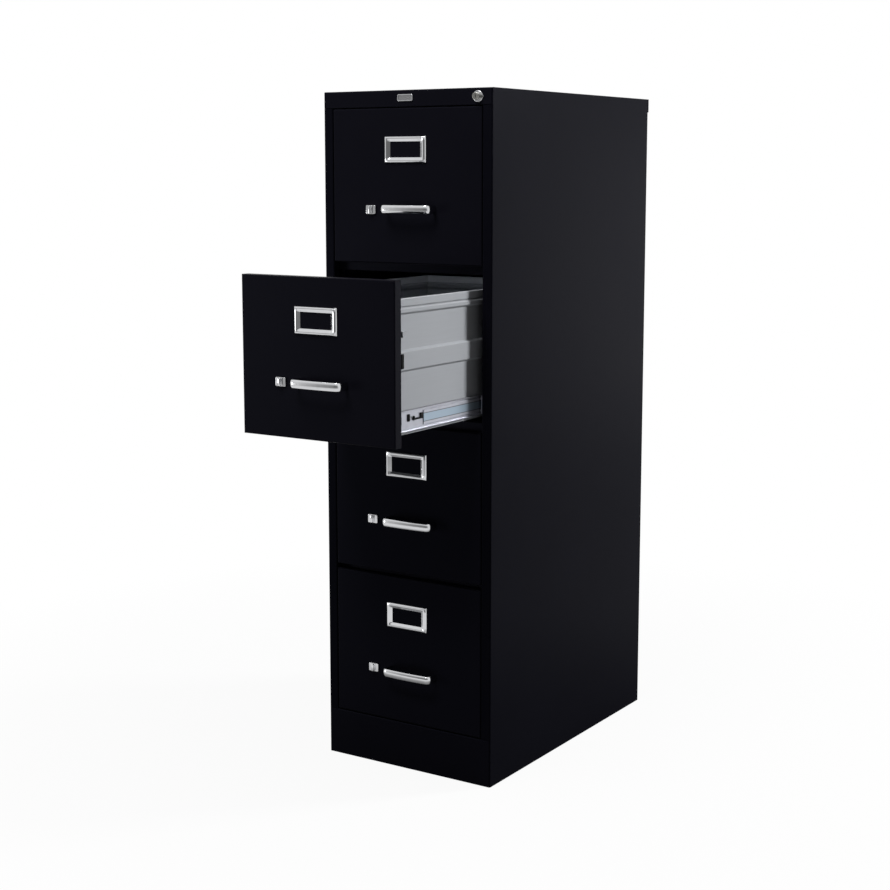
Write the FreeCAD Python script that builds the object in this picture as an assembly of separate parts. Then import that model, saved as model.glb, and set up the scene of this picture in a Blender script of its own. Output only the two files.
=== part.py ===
import FreeCAD, Part
import math
import os

# Four-drawer vertical filing cabinet of folded sheet steel, in millimetres.
# Origin: centre of the case's footprint on the floor. +Z is up, the drawers open towards -Y.
# The second drawer from the top rests partly open, the other three rest closed.

Vector = FreeCAD.Vector
X_AXIS = Vector(1, 0, 0)
Y_AXIS = Vector(0, 1, 0)
ORIGIN = Vector(0, 0, 0)

# Case
case_width = 381.0
case_depth = 635.0
case_height = 1321.0
case_sheet = 1.0
edge_radius = 3.0
stile_width = 20.5
stile_return = 16.0
header_height = 31.5
header_return = 16.0
kick_height = 92.0
kick_return = 18.0
rear_flange = 18.5
back_foot = 5.0
lip_edge = 0.8
top_lip_height = 27.0
top_lip_overhang = 2.0
bottom_flange = 15.0

# Uprights and rails inside the case
upright_width = 40.0
upright_flange = 12.0
front_upright_setback = 32.0
rear_upright_setback = 47.5
upright_top_gap = 45.0
cross_rail_setback = 56.0
cross_rail_width = 30.0
cross_rail_drop = 18.0
divider_height = 24.0
divider_depth = 25.0

# Drawers
drawer_count = 4
drawer_gap = 10.0
front_gap = 1.5
front_side_gap = 1.5
kick_gap = 2.0
front_depth = 19.0
front_lip = 20.0
front_edge_radius = 2.5
open_drawer_number = 2
open_distance = 281.0

# Drawer tray
tray_sheet = 1.0
tray_rear_gap = 45.0
tray_side_gap = 13.0
tray_top_drop = 33.0
tray_floor_rise = 20.0
hem_height = 14.0
hem_width = 4.0
bead_drop = 15.0
bead_height = 13.0
bead_depth = 4.5
rib_drop = 90.0
rib_height = 38.0
rib_depth = 4.0
swage_slope = 3.5
lug_drop = 90.0
lug_height = 10.0
lug_length = 14.0
lug_reach = 10.5
lug_setback = 7.0
slit_setback = 3.0
slit_width = 4.0
slit_height = 26.0
peep_setback = 5.0
peep_width = 4.0
peep_height = 6.0
peep_drop = 5.0

# Telescopic slides
slide_sheet = 1.2
slide_height = 38.0
slide_rise = 23.0
slide_flange = 5.2
slide_front_gap = 5.0
slide_rear_gap = 6.0
slide_catch_length = 78.0
slide_band_height = 24.0
slide_band_depth = 1.4
case_slide_setback = 34.0
mid_slide_share = 0.75
mid_slide_rear_gap = 24.0
mid_slide_height = 24.0
mid_slide_sheet = 1.2
mid_slide_web = 1.5
slide_clearance = 0.4
slide_front_rivet = 18.0
slide_rear_rivet = 36.0

# Openings in a slide's catch zone, from its front end and its middle height
catch_slit_start = 8.0
catch_slit_width = 3.0
catch_slit_height = 14.0
catch_slit_rise = 1.0
catch_slot_start = 28.0
catch_slot_length = 22.0
catch_slot_width = 3.5
catch_slot_rise = 3.0
catch_leg_height = 7.5

# Drawer handle
handle_width = 112.0
handle_centre = 13.0
handle_height = 15.5
handle_reach = 30.0
handle_bar = 4.0
handle_leg = 7.0
handle_bend = 8.0
handle_edge = 1.2
handle_drop = 188.0
handle_hole_depth = 12.0
screw_radius = 2.0
screw_head_radius = 4.5
screw_head_height = 2.6
screw_slot_width = 1.2
screw_end_gap = 1.0
fastener_clearance = 0.1

# Label holder
label_width = 94.0
label_height = 50.0
label_drop = 77.0
label_opening_width = 66.0
label_opening_height = 28.5
label_bead = 7.0
label_thickness = 4.5
label_inner_thickness = 2.2
label_corner = 3.0
label_round = 1.7
label_stud_spacing = 80.0
label_stud_radius = 1.5
label_stud_length = 4.0
push_nut_radius = 4.5
push_nut_thickness = 0.8

# Thumb latch
latch_centre = -79.0
latch_width = 22.0
latch_height = 16.5
latch_plate = 3.0
latch_reach = 8.0
latch_rib = 5.0
latch_rib_margin = 1.0
latch_corner = 2.0
latch_below_handle = 2.0
latch_travel = 7.0
latch_stem_width = 8.0
latch_stem_height = 6.0
latch_gap = 0.3
latch_bolt_height = 12.0
latch_bolt_thickness = 3.0
latch_bolt_tip_gap = 0.3
latch_bolt_overlap = 10.0
latch_guide_width = 10.0
latch_guide_spacing = 40.0
latch_guide_offset = 30.0

# Lock
lock_inset = 30.5
lock_travel = 8.0
bezel_radius = 10.5
bezel_thickness = 2.0
bezel_nub_radius = 2.0
sleeve_radius = 8.5
sleeve_length = 24.0
plunger_radius = 7.0
plunger_length = 40.0
plunger_edge = 0.8
tail_radius = 4.0
tail_length = 8.0
core_radius = 4.5
core_length = 18.0
keyway_width = 1.6
keyway_height = 6.0
keyway_depth = 12.0
pin_radius = 2.0
pin_reach = 16.0
slot_play = 0.2
running_clearance = 0.1

# Lock bar
bar_width = 13.5
bar_thickness = 2.5
bar_bottom = 130.0
bar_offset = 15.5
bar_behind_stile = 6.0
bar_gap = 0.3
bar_guide_height = 16.0
ear_length = 26.0
ear_height = 24.5
ear_thickness = 2.0
ear_above_pin = 4.25
hook_reach = 10.0
hook_height = 12.0
hook_gap = 6.0

# Badge
badge_width = 34.0
badge_height = 12.5
badge_drop = 14.5
badge_rim = 1.8
badge_thickness = 2.4
badge_field_thickness = 1.4
badge_corner = 2.5
badge_edge = 0.7

# Rivets
rivet_radius = 2.4
rivet_head_radius = 4.5
rivet_head_height = 1.4

# How far a cutting shape stands past the surface that it cuts
overrun = 1.0

# Planes that several pieces share
half_width = case_width / 2
front = -case_depth / 2
rear = case_depth / 2
inner_wall = half_width - case_sheet
opening_half = half_width - stile_width
header_bottom = case_height - header_height
header_middle = case_height - header_height / 2
front_half = opening_half - front_side_gap
drawers_height = header_bottom - front_gap - kick_height - kick_gap
drawer_pitch = (drawers_height + drawer_gap) / drawer_count
front_height = drawer_pitch - drawer_gap
tray_half = opening_half - tray_side_gap
tray_inner = tray_half - tray_sheet
tray_floor_drop = front_height - tray_floor_rise
upright_face = tray_half + 2 * slide_flange + 2 * slide_clearance + mid_slide_web
front_back = front + front_depth
tray_back = rear - tray_rear_gap
tray_length = tray_back - front_back
slide_drop = tray_floor_drop - slide_rise
slide_length = tray_length - slide_front_gap - slide_rear_gap
mid_slide_length = slide_length * mid_slide_share
front_post_place = front + front_upright_setback
rear_post_place = rear - rear_upright_setback - upright_width
latch_drop = handle_drop + latch_below_handle
lock_centre = half_width - lock_inset
bar_side = tray_half + bar_offset


def drawer_top(number):
    """Height of the top edge of a drawer's front, counted from the top drawer."""
    return header_bottom - front_gap - (number - 1) * drawer_pitch


def drawer_shift(number):
    """How far a drawer is drawn out in the rest pose."""
    return open_distance if number == open_drawer_number else 0.0


def box(x0, x1, y0, y1, z0, z1):
    """Rectangular block between two corners."""
    return Part.makeBox(x1 - x0, y1 - y0, z1 - z0, Vector(x0, y0, z0))


def rod(radius, start, axis, length):
    """Round bar from a start point along an axis."""
    return Part.makeCylinder(radius, length, start, axis)


def mirrored(shape):
    """The same piece on the other side of the cabinet."""
    return shape.mirror(ORIGIN, X_AXIS)


def moved(shape, x=0.0, y=0.0, z=0.0):
    """A copy of the piece, shifted."""
    copy = shape.copy()
    copy.translate(Vector(x, y, z))
    return copy


def rounded_block(x_middle, z_middle, width, height, y0, y1, corner):
    """Upright block with rounded corners, seen from the front as a rounded rectangle."""
    x0 = x_middle - width / 2
    z0 = z_middle - height / 2
    block = box(x0, x0 + width, y0, y1, z0, z0 + height)
    corners = [edge for edge in block.Edges if abs(edge.tangentAt(edge.FirstParameter).y) > 0.9]
    return block.makeFillet(corner, corners)


def straight(start, end):
    """A straight edge, or none where a bend begins at the start itself."""
    return [Part.LineSegment(start, end).toShape()] if start.distanceToPoint(end) > 1e-6 else []


def folded_face(points, thickness, place):
    """Cross-section of a folded sheet. The points run along one face of the sheet, and the
    thickness lies to their left. A third number at a point is the bend's outer radius there."""
    spans = []
    for here, there in zip(points, points[1:]):
        length = math.hypot(there[0] - here[0], there[1] - here[1])
        spans.append(((there[0] - here[0]) / length, (there[1] - here[1]) / length))

    def side(offset):
        """Corner points of one face, each with its own bend radius."""
        corners = []
        for index, point in enumerate(points):
            before = spans[max(index - 1, 0)]
            after = spans[min(index, len(spans) - 1)]
            turn = before[0] * after[1] - before[1] * after[0]
            scale = offset / (1 + before[0] * after[0] + before[1] * after[1])
            u = point[0] - (before[1] + after[1]) * scale
            v = point[1] + (before[0] + after[0]) * scale
            outer = point[2] if len(point) > 2 else 0.0
            outside = turn > 0 if offset == 0 else turn < 0
            corners.append((u, v, outer if outside else max(outer - thickness, 0.0), before, after, turn))
        return corners

    def edges_of(corners):
        """Straight runs joined by arcs through one face's corners."""
        runs = []
        last = Vector(*place(corners[0][0], corners[0][1]))
        for u, v, radius, before, after, turn in corners[1:-1]:
            angle = math.atan2(turn, before[0] * after[0] + before[1] * after[1])
            reach = radius * math.tan(abs(angle) / 2)
            enter = Vector(*place(u - before[0] * reach, v - before[1] * reach))
            runs += straight(last, enter)
            last = enter
            if radius > 0:
                leave = Vector(*place(u + after[0] * reach, v + after[1] * reach))
                inward = radius / math.cos(angle / 2) - radius
                bisector = (after[0] - before[0], after[1] - before[1])
                size = math.hypot(*bisector)
                middle = Vector(*place(u + bisector[0] / size * inward, v + bisector[1] / size * inward))
                runs.append(Part.Arc(enter, middle, leave).toShape())
                last = leave
        end = Vector(*place(corners[-1][0], corners[-1][1]))
        return runs + straight(last, end), end

    base, base_end = edges_of(side(0.0))
    cover, cover_end = edges_of(side(thickness))
    first_base = Vector(*place(points[0][0], points[0][1]))
    first_cover = cover[0].Vertexes[0].Point
    caps = straight(base_end, cover_end) + straight(first_cover, first_base)
    return Part.Face(Part.Wire(Part.sortEdges(base + cover + caps)[0]))


def sheet_along_x(points, thickness, x0, x1):
    """Folded sheet whose section lies in the Y-Z plane."""
    face = folded_face(points, thickness, lambda u, v: (x0, u, v))
    return face.extrude(Vector(x1 - x0, 0, 0))


def sheet_along_y(points, thickness, y0, y1):
    """Folded sheet whose section lies in the X-Z plane."""
    face = folded_face(points, thickness, lambda u, v: (u, y0, v))
    return face.extrude(Vector(0, y1 - y0, 0))


def sheet_along_z(points, thickness, z0, z1):
    """Folded sheet whose section lies in the X-Y plane."""
    face = folded_face(points, thickness, lambda u, v: (u, v, z0))
    return face.extrude(Vector(0, 0, z1 - z0))


def joined(shapes):
    """One solid from pieces that touch."""
    first, rest = shapes[0], shapes[1:]
    return first.multiFuse(rest).removeSplitter() if rest else first


def write(name, shapes):
    """Write one node: a single solid, or a group of separate solids."""
    shape = shapes[0] if len(shapes) == 1 else Part.makeCompound(shapes)
    shape.exportStep(os.path.join("parts", name + ".step"))


def side_panel():
    """Right side of the case: flat wall, front stile between header and kick, rear flange."""
    wall = [
        (half_width - edge_radius, front),
        (half_width, front, edge_radius),
        (half_width, rear, edge_radius),
        (half_width - rear_flange, rear),
    ]
    stile = [
        (opening_half, front + stile_return),
        (opening_half, front, 2 * case_sheet),
        (half_width - edge_radius, front),
    ]
    panel = sheet_along_z(wall, case_sheet, 0, case_height - case_sheet)
    return joined([panel, sheet_along_z(stile, case_sheet, kick_height, header_bottom)])


def top_panel():
    """Top of the case, folded down in front as the header and behind as a hemmed lip."""
    face_half = half_width - edge_radius
    header = [
        (front + 2 * edge_radius, case_height),
        (front, case_height, edge_radius),
        (front, header_bottom, 2 * case_sheet),
        (front + header_return, header_bottom),
    ]
    lid = box(-half_width, half_width, front + edge_radius, rear, case_height - case_sheet, case_height)
    lip_bottom = case_height - top_lip_height
    lip = box(-half_width, half_width, rear, rear + top_lip_overhang, lip_bottom, case_height)
    panel = joined([sheet_along_x(header, case_sheet, -face_half, face_half), lid, lip])
    lip_edges = [
        edge for edge in panel.Edges
        if abs(edge.CenterOfMass.y - rear - top_lip_overhang) < 0.01 and edge.Length > case_width / 2
    ]
    panel = panel.makeFillet(lip_edge, lip_edges)
    start = Vector(lock_centre, front - overrun, header_middle)
    return panel.cut(rod(sleeve_radius + fastener_clearance, start, Y_AXIS, case_sheet + 2 * overrun))


def base_panel():
    """Kick face below the bottom drawer, with a shelf folded back along its top."""
    face_half = half_width - edge_radius
    kick = [(front + kick_return, kick_height), (front, kick_height, 2 * case_sheet), (front, 0)]
    return sheet_along_x(kick, case_sheet, -face_half, face_half)


def bottom_panel():
    """Pan that closes the case below. Its underside rests on the floor."""
    y0 = front + case_sheet
    y1 = rear - 2 * case_sheet
    pan = box(-inner_wall, inner_wall, y0, y1, 0, bottom_flange)
    corners = [edge for edge in pan.Edges if abs(edge.tangentAt(edge.FirstParameter).z) > 0.9]
    pan = pan.makeFillet(edge_radius, corners)
    well = box(
        -inner_wall + case_sheet, inner_wall - case_sheet, y0 + case_sheet, y1 - case_sheet,
        case_sheet, bottom_flange + overrun,
    )
    return pan.cut(well)


def back_panel():
    """Flat back, welded inside the rear flanges of the sides."""
    y1 = rear - case_sheet
    back_half = half_width - edge_radius
    return box(-back_half, back_half, y1 - case_sheet, y1, back_foot, case_height - 2 * case_sheet)


def upright(y0):
    """Right hat-section post that carries the slides, from the bottom pan towards the top."""
    y1 = y0 + upright_width
    foot = inner_wall - case_sheet
    bend = 1.5 * case_sheet
    hat = [
        (foot, y1 + upright_flange),
        (foot, y1, bend),
        (upright_face, y1, bend),
        (upright_face, y0, bend),
        (foot, y0, bend),
        (foot, y0 - upright_flange + 2 * case_sheet),
    ]
    post = sheet_along_z(hat, case_sheet, bottom_flange + case_sheet, case_height - upright_top_gap)
    start_x = upright_face - overrun
    for number in range(1, drawer_count + 1):
        start = Vector(start_x, y0 + upright_width / 2, drawer_top(number) - slide_drop)
        post = post.cut(rod(rivet_radius + fastener_clearance, start, X_AXIS, case_sheet + 2 * overrun))
    return post


def cross_rail():
    """Hat-section rail under the top, tying the two sides together."""
    y0 = front + cross_rail_setback
    y1 = y0 + cross_rail_width
    foot = case_height - 2 * case_sheet
    web = case_height - case_sheet - cross_rail_drop
    bend = 1.5 * case_sheet
    hat = [
        (y0 - upright_flange, foot),
        (y0, foot, bend),
        (y0, web, bend),
        (y1, web, bend),
        (y1, foot, bend),
        (y1 + upright_flange, foot),
    ]
    return sheet_along_x(hat, case_sheet, -inner_wall, inner_wall)


def gap_middle(number):
    """Height of the middle of the gap under one drawer's front."""
    return drawer_top(number) - front_height - drawer_gap / 2


def divider_rail(number):
    """Channel behind the gap under one drawer, between the front uprights."""
    middle = gap_middle(number)
    y0 = front_back + case_sheet
    y1 = y0 + divider_depth
    bend = 1.5 * case_sheet
    channel = [
        (y1, middle + divider_height / 2),
        (y0, middle + divider_height / 2, bend),
        (y0, middle - divider_height / 2, bend),
        (y1, middle - divider_height / 2),
    ]
    return sheet_along_x(channel, case_sheet, -upright_face, upright_face)


def case_rivet_places():
    """Depths of a case channel's two rivets: the middle of each upright."""
    return [front_post_place + upright_width / 2, rear_post_place + upright_width / 2]


def drawer_rivet_places():
    """Depths of a drawer channel's two rivets, one near each end."""
    start = front_back + slide_front_gap
    return [start + slide_front_rivet, start + slide_length - slide_rear_rivet]


def slide_rivet(x, y, z, direction, grip):
    """Flush shank through both sheets, with a flat head on the far side."""
    axis = Vector(direction, 0, 0)
    shank = rod(rivet_radius, Vector(x, y, z), axis, grip)
    head = rod(rivet_head_radius, Vector(x + direction * grip, y, z), axis, rivet_head_height)
    rim = [
        edge for edge in head.Edges
        if abs(edge.CenterOfMass.x - x) > grip + rivet_head_height / 2 and edge.Length > 2 * rivet_head_radius
    ]
    head = head.makeFillet(rivet_head_height / 2, rim)
    return joined([shank, head])


def with_rivet_holes(member, x, places, z):
    """A sheet member with a rivet hole at each place along the depth."""
    for y in places:
        start = Vector(x - slide_flange, y, z)
        member = member.cut(rod(rivet_radius + fastener_clearance, start, X_AXIS, 2 * slide_flange))
    return member


def case_slide(number):
    """Right outer channel, riveted to the uprights and open towards the drawer."""
    z = drawer_top(number) - slide_drop
    y0 = front + case_slide_setback
    edge = upright_face - slide_flange
    bend = 1.5 * slide_sheet
    channel = [
        (edge, z - slide_height / 2),
        (upright_face, z - slide_height / 2, bend),
        (upright_face, z + slide_height / 2, bend),
        (edge, z + slide_height / 2),
    ]
    member = sheet_along_y(channel, slide_sheet, y0, y0 + slide_length)
    return with_rivet_holes(member, upright_face, case_rivet_places(), z)


def case_slide_rivets(number):
    """The rivets that hold one right outer channel to the uprights."""
    z = drawer_top(number) - slide_drop
    x = upright_face - slide_sheet
    grip = slide_sheet + case_sheet
    return [slide_rivet(x, y, z, 1, grip) for y in case_rivet_places()]


def drawer_slide(number):
    """Right inner channel on the tray: plain catch zone in front, banded web behind it."""
    z = drawer_top(number) - slide_drop
    y0 = front_back + slide_front_gap
    y1 = y0 + slide_catch_length
    edge = tray_half + slide_flange
    bend = 1.5 * slide_sheet
    half = slide_height / 2
    band = slide_band_height / 2
    raised = tray_half + slide_band_depth
    plain = [(edge, z + half), (tray_half, z + half, bend), (tray_half, z - half, bend), (edge, z - half)]
    banded = [
        (edge, z + half),
        (tray_half, z + half, bend),
        (tray_half, z + band + slide_band_depth),
        (raised, z + band),
        (raised, z - band),
        (tray_half, z - band - slide_band_depth),
        (tray_half, z - half, bend),
        (edge, z - half),
    ]
    catch = sheet_along_y(plain, slide_sheet, y0, y1)
    x0 = tray_half - overrun
    slit_middle = z + catch_slit_rise
    slit_start = y0 + catch_slit_start
    slot_start = y0 + catch_slot_start
    slot_end = slot_start + catch_slot_length
    slot_bottom = z + catch_slot_rise
    catch = catch.cut(box(
        x0, edge, slit_start, slit_start + catch_slit_width,
        slit_middle - catch_slit_height / 2, slit_middle + catch_slit_height / 2,
    ))
    catch = catch.cut(box(x0, edge, slot_start, slot_end, slot_bottom, slot_bottom + catch_slot_width))
    catch = catch.cut(box(
        x0, edge, slot_end - catch_slot_width, slot_end,
        slot_bottom + catch_slot_width / 2 - catch_leg_height, slot_bottom + catch_slot_width / 2,
    ))
    rest = sheet_along_y(banded, slide_sheet, y1, y0 + slide_length)
    member = joined([catch, rest])
    return with_rivet_holes(member, tray_half, drawer_rivet_places(), z)


def drawer_slide_rivets(number):
    """The rivets that hold one right inner channel to the tray wall."""
    z = drawer_top(number) - slide_drop
    grips = [slide_sheet, slide_sheet + slide_band_depth]
    return [
        slide_rivet(tray_half + grip, y, z, -1, grip + tray_sheet)
        for y, grip in zip(drawer_rivet_places(), grips)
    ]


def mid_slide(number):
    """Right middle member: an I-section between the case channel and the drawer channel."""
    z = drawer_top(number) - slide_drop
    y1 = front + case_slide_setback + slide_length - mid_slide_rear_gap
    y0 = y1 - mid_slide_length
    x_middle = (tray_half + upright_face) / 2
    corridor = (upright_face - tray_half) / 2
    web = mid_slide_web / 2
    reach = slide_height / 2 - slide_sheet - slide_clearance
    flange = mid_slide_height / 2
    flange_reach = corridor - slide_sheet - slide_band_depth - slide_clearance
    stem = box(x_middle - web, x_middle + web, y0, y1, z - reach, z + reach)
    upper = box(
        x_middle - flange_reach, x_middle + flange_reach, y0, y1, z + flange - mid_slide_sheet, z + flange
    )
    lower = moved(upper, z=mid_slide_sheet - mid_slide_height)
    return joined([stem, upper, lower])


def wall_outline(face, top):
    """Section of a tray wall from its hem down to the last swage. face is the inner plane, and
    larger values lie further out."""
    soft = 2.5 * tray_sheet
    tight = 1.9 * tray_sheet
    rim = top - tray_top_drop
    bead = rim - bead_drop
    rib = rim - rib_drop
    return [
        (face + hem_width, rim - hem_height),
        (face + hem_width, rim, tight),
        (face, rim, tight),
        (face, bead, soft),
        (face + bead_depth, bead - swage_slope, soft),
        (face + bead_depth, bead - bead_height + swage_slope, soft),
        (face, bead - bead_height, soft),
        (face, rib, soft),
        (face + rib_depth, rib - swage_slope, soft),
        (face + rib_depth, rib - rib_height + swage_slope, soft),
        (face, rib - rib_height, soft),
    ]


def mitre_wedge(z0, z1):
    """Everything behind the mitred rear corners of a tray."""
    spread = 40.0
    corners = [
        Vector(tray_inner, tray_back, z0),
        Vector(tray_inner + spread, tray_back + spread, z0),
        Vector(-tray_inner - spread, tray_back + spread, z0),
        Vector(-tray_inner, tray_back, z0),
        Vector(tray_inner, tray_back, z0),
    ]
    return Part.Face(Part.makePolygon(corners)).extrude(Vector(0, 0, z1 - z0))


def tray_wall(number):
    """Right wall of a drawer, ribbed and hemmed, and mitred where it meets the back."""
    top = drawer_top(number)
    rim = top - tray_top_drop
    bottom = top - tray_floor_drop - tray_sheet
    outline = wall_outline(tray_inner, top) + [(tray_inner, bottom)]
    wall = sheet_along_y(outline, tray_sheet, front_back, tray_back + 2 * hem_width)
    wall = wall.cut(mitre_wedge(bottom - tray_sheet, top))
    rib_middle = rim - rib_drop - rib_height / 2
    slit_start = front_back + slit_setback
    slit_face = tray_inner + rib_depth
    slit = box(
        slit_face - tray_sheet, slit_face + 2 * tray_sheet, slit_start, slit_start + slit_width,
        rib_middle - slit_height / 2, rib_middle + slit_height / 2,
    )
    peep_start = front_back + peep_setback
    peep_face = tray_inner + hem_width
    peep = box(
        peep_face - tray_sheet, peep_face + tray_sheet, peep_start, peep_start + peep_width,
        rim - peep_drop - peep_height, rim - peep_drop,
    )
    return with_rivet_holes(wall.cut(slit).cut(peep), tray_half, drawer_rivet_places(), top - slide_drop)


def drawer_tray(number):
    """Both walls, floor and inner front of a drawer, and the lug that the lock holds."""
    top = drawer_top(number)
    floor = top - tray_floor_drop
    wall = tray_wall(number)
    inner_front_back = front_back + tray_sheet
    inner_front = box(
        -tray_inner, tray_inner, front_back, inner_front_back, floor - tray_sheet, top - tray_top_drop
    )
    sheet = box(-tray_inner, tray_inner, inner_front_back, tray_back, floor - tray_sheet, floor)
    lug_start = front_back + lug_setback
    lug = box(
        tray_half, tray_half + lug_reach, lug_start, lug_start + lug_length,
        top - lug_drop - lug_height, top - lug_drop,
    )
    return [wall, mirrored(wall), sheet, inner_front, lug]


def drawer_back(number):
    """Rear wall of a drawer, with the same hem, bead and rib as the sides."""
    top = drawer_top(number)
    bottom = top - tray_floor_drop - tray_sheet
    outline = wall_outline(tray_back, top) + [(tray_back, bottom)]
    reach = tray_half + 2 * hem_width
    wall = sheet_along_x(outline, tray_sheet, -reach, reach)
    return wall.common(mitre_wedge(bottom - tray_sheet, top))


def drawer_front(number):
    """Drawer front: a pan folded back on all four edges, with the latch guides inside it."""
    top = drawer_top(number)
    bottom = top - front_height
    pan = box(-front_half, front_half, front, front_back, bottom, top)
    face_edges = [edge for edge in pan.Edges if abs(edge.CenterOfMass.y - front) < 0.01]
    pan = pan.makeFillet(front_edge_radius, face_edges)
    hollow = box(
        -front_half + case_sheet, front_half - case_sheet, front + case_sheet, front_back - case_sheet,
        bottom + case_sheet, top - case_sheet,
    )
    inner_edges = [edge for edge in hollow.Edges if abs(edge.CenterOfMass.y - front - case_sheet) < 0.01]
    hollow = hollow.makeFillet(front_edge_radius - case_sheet, inner_edges)
    mouth = box(
        -front_half + front_lip, front_half - front_lip, front + front_depth / 2, front_back + overrun,
        bottom + front_lip, top - front_lip,
    )
    pan = joined([pan.cut(hollow).cut(mouth)] + latch_guides(number))
    through = case_sheet + 2 * overrun
    holes = [(x, top - handle_drop, screw_radius) for x in handle_screw_places()]
    holes += [(x, top - label_drop, label_stud_radius) for x in label_stud_places()]
    for x, z, radius in holes:
        pan = pan.cut(rod(radius + fastener_clearance, Vector(x, front - overrun, z), Y_AXIS, through))
    z = top - latch_drop
    stem_slot = box(
        latch_centre - latch_stem_width / 2 - latch_gap,
        latch_centre + latch_stem_width / 2 + latch_travel + latch_gap,
        front - overrun, front + case_sheet + overrun,
        z - latch_stem_height / 2 - latch_gap, z + latch_stem_height / 2 + latch_gap,
    )
    y_bolt = front + latch_bolt_setback()
    bolt_hole = box(
        -front_half - overrun, -front_half + case_sheet + overrun,
        y_bolt - latch_gap, y_bolt + latch_bolt_thickness + latch_gap,
        z - latch_bolt_height / 2 - latch_gap, z + latch_bolt_height / 2 + latch_gap,
    )
    return pan.cut(stem_slot).cut(bolt_hole)


def latch_bolt_setback():
    """Depth of the bolt's front face behind the face of the drawer front."""
    return case_sheet + latch_plate


def latch_guides(number):
    """Two staples on the inside of a drawer front, in which the latch bolt slides."""
    z = drawer_top(number) - latch_drop
    y0 = front + case_sheet
    y1 = front + latch_bolt_setback() + latch_bolt_thickness + latch_gap
    inner = latch_bolt_height / 2 + latch_gap
    outline = [
        (y0, z + inner + case_sheet),
        (y1 + case_sheet, z + inner + case_sheet),
        (y1 + case_sheet, z - inner - case_sheet),
        (y0, z - inner - case_sheet),
    ]
    outline.reverse()
    guides = []
    for step in (0, 1):
        x0 = -front_half + latch_guide_offset + step * latch_guide_spacing - latch_guide_width / 2
        guides.append(sheet_along_x(outline, case_sheet, x0, x0 + latch_guide_width))
    return guides


def latch_button(number):
    """Thumb piece that slides sideways on the front, with an upright rib to push against."""
    z = drawer_top(number) - latch_drop
    face = front - latch_gap
    plate = rounded_block(latch_centre, z, latch_width, latch_height, face - latch_plate, face, latch_corner)
    rim = [edge for edge in plate.Edges if abs(edge.CenterOfMass.y - face + latch_plate) < 0.01]
    plate = plate.makeFillet(latch_plate / 3, rim)
    rib = box(
        latch_centre - latch_rib / 2, latch_centre + latch_rib / 2,
        front - latch_reach, face - latch_plate / 2,
        z - latch_height / 2 + latch_rib_margin, z + latch_height / 2 - latch_rib_margin,
    )
    crest = [edge for edge in rib.Edges if abs(edge.CenterOfMass.y - front + latch_reach) < 0.01]
    rib = rib.makeFillet(latch_rib / 4, crest)
    stem = box(
        latch_centre - latch_stem_width / 2, latch_centre + latch_stem_width / 2,
        face - latch_plate / 2, front + latch_bolt_setback(),
        z - latch_stem_height / 2, z + latch_stem_height / 2,
    )
    return joined([plate, rib, stem])


def latch_bolt(number):
    """Flat bolt behind the front, whose nose stops flush with the pan's left side."""
    z = drawer_top(number) - latch_drop
    y0 = front + latch_bolt_setback()
    tip = -front_half + latch_bolt_tip_gap
    bolt = box(
        tip, latch_centre + latch_bolt_overlap, y0, y0 + latch_bolt_thickness,
        z - latch_bolt_height / 2, z + latch_bolt_height / 2,
    )
    nose = [
        edge for edge in bolt.Edges
        if abs(edge.CenterOfMass.x - tip) < 0.01 and edge.Length > latch_bolt_height / 2
    ]
    return bolt.makeChamfer(latch_bolt_thickness / 3, nose)


def handle_screw_places():
    """Middle of each leg of the handle."""
    reach = handle_width / 2 - handle_leg / 2
    return [handle_centre - reach, handle_centre + reach]


def handle(number):
    """Strap handle: flat bar on two legs with rounded bends, drilled for two screws."""
    z = drawer_top(number) - handle_drop
    y0 = front - handle_reach
    outer = box(
        handle_centre - handle_width / 2, handle_centre + handle_width / 2, y0, front,
        z - handle_height / 2, z + handle_height / 2,
    )
    bends = [
        edge for edge in outer.Edges
        if abs(edge.tangentAt(edge.FirstParameter).z) > 0.9 and abs(edge.CenterOfMass.y - y0) < 0.01
    ]
    outer = outer.makeFillet(handle_bend, bends)
    gap = box(
        handle_centre - handle_width / 2 + handle_leg, handle_centre + handle_width / 2 - handle_leg,
        y0 + handle_bar, front + overrun, z - handle_height, z + handle_height,
    )
    inner_bends = [
        edge for edge in gap.Edges
        if abs(edge.tangentAt(edge.FirstParameter).z) > 0.9
        and abs(edge.CenterOfMass.y - y0 - handle_bar) < 0.01
    ]
    gap = gap.makeFillet(handle_bend - handle_bar, inner_bends)
    strap = outer.cut(gap)
    long_edges = [
        edge for edge in strap.Edges
        if abs(abs(edge.CenterOfMass.z - z) - handle_height / 2) < 0.01 and edge.CenterOfMass.y < front - 0.01
    ]
    strap = strap.makeFillet(handle_edge, long_edges)
    for x in handle_screw_places():
        start = Vector(x, front + overrun, z)
        strap = strap.cut(rod(screw_radius + fastener_clearance, start, -Y_AXIS, handle_hole_depth + overrun))
    return strap


def label_stud_places():
    """The two studs behind the label holder."""
    return [-label_stud_spacing / 2, label_stud_spacing / 2]


def label_holder(number):
    """Card frame: a rounded outer bead, a lower inner band and an open window."""
    z = drawer_top(number) - label_drop
    bead = rounded_block(0, z, label_width, label_height, front - label_thickness, front, label_corner)
    well = rounded_block(
        0, z, label_width - 2 * label_bead, label_height - 2 * label_bead,
        front - label_thickness - overrun, front - label_inner_thickness, label_corner,
    )
    frame = bead.cut(well)
    crest = [edge for edge in frame.Edges if abs(edge.CenterOfMass.y - front + label_thickness) < 0.01]
    frame = frame.makeFillet(label_round, crest)
    window = rounded_block(
        0, z, label_opening_width, label_opening_height, front - label_thickness, front + overrun,
        label_corner / 3,
    )
    studs = [
        rod(label_stud_radius, Vector(x, front, z), Y_AXIS, label_stud_length) for x in label_stud_places()
    ]
    return joined([frame.cut(window)] + studs)


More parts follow.
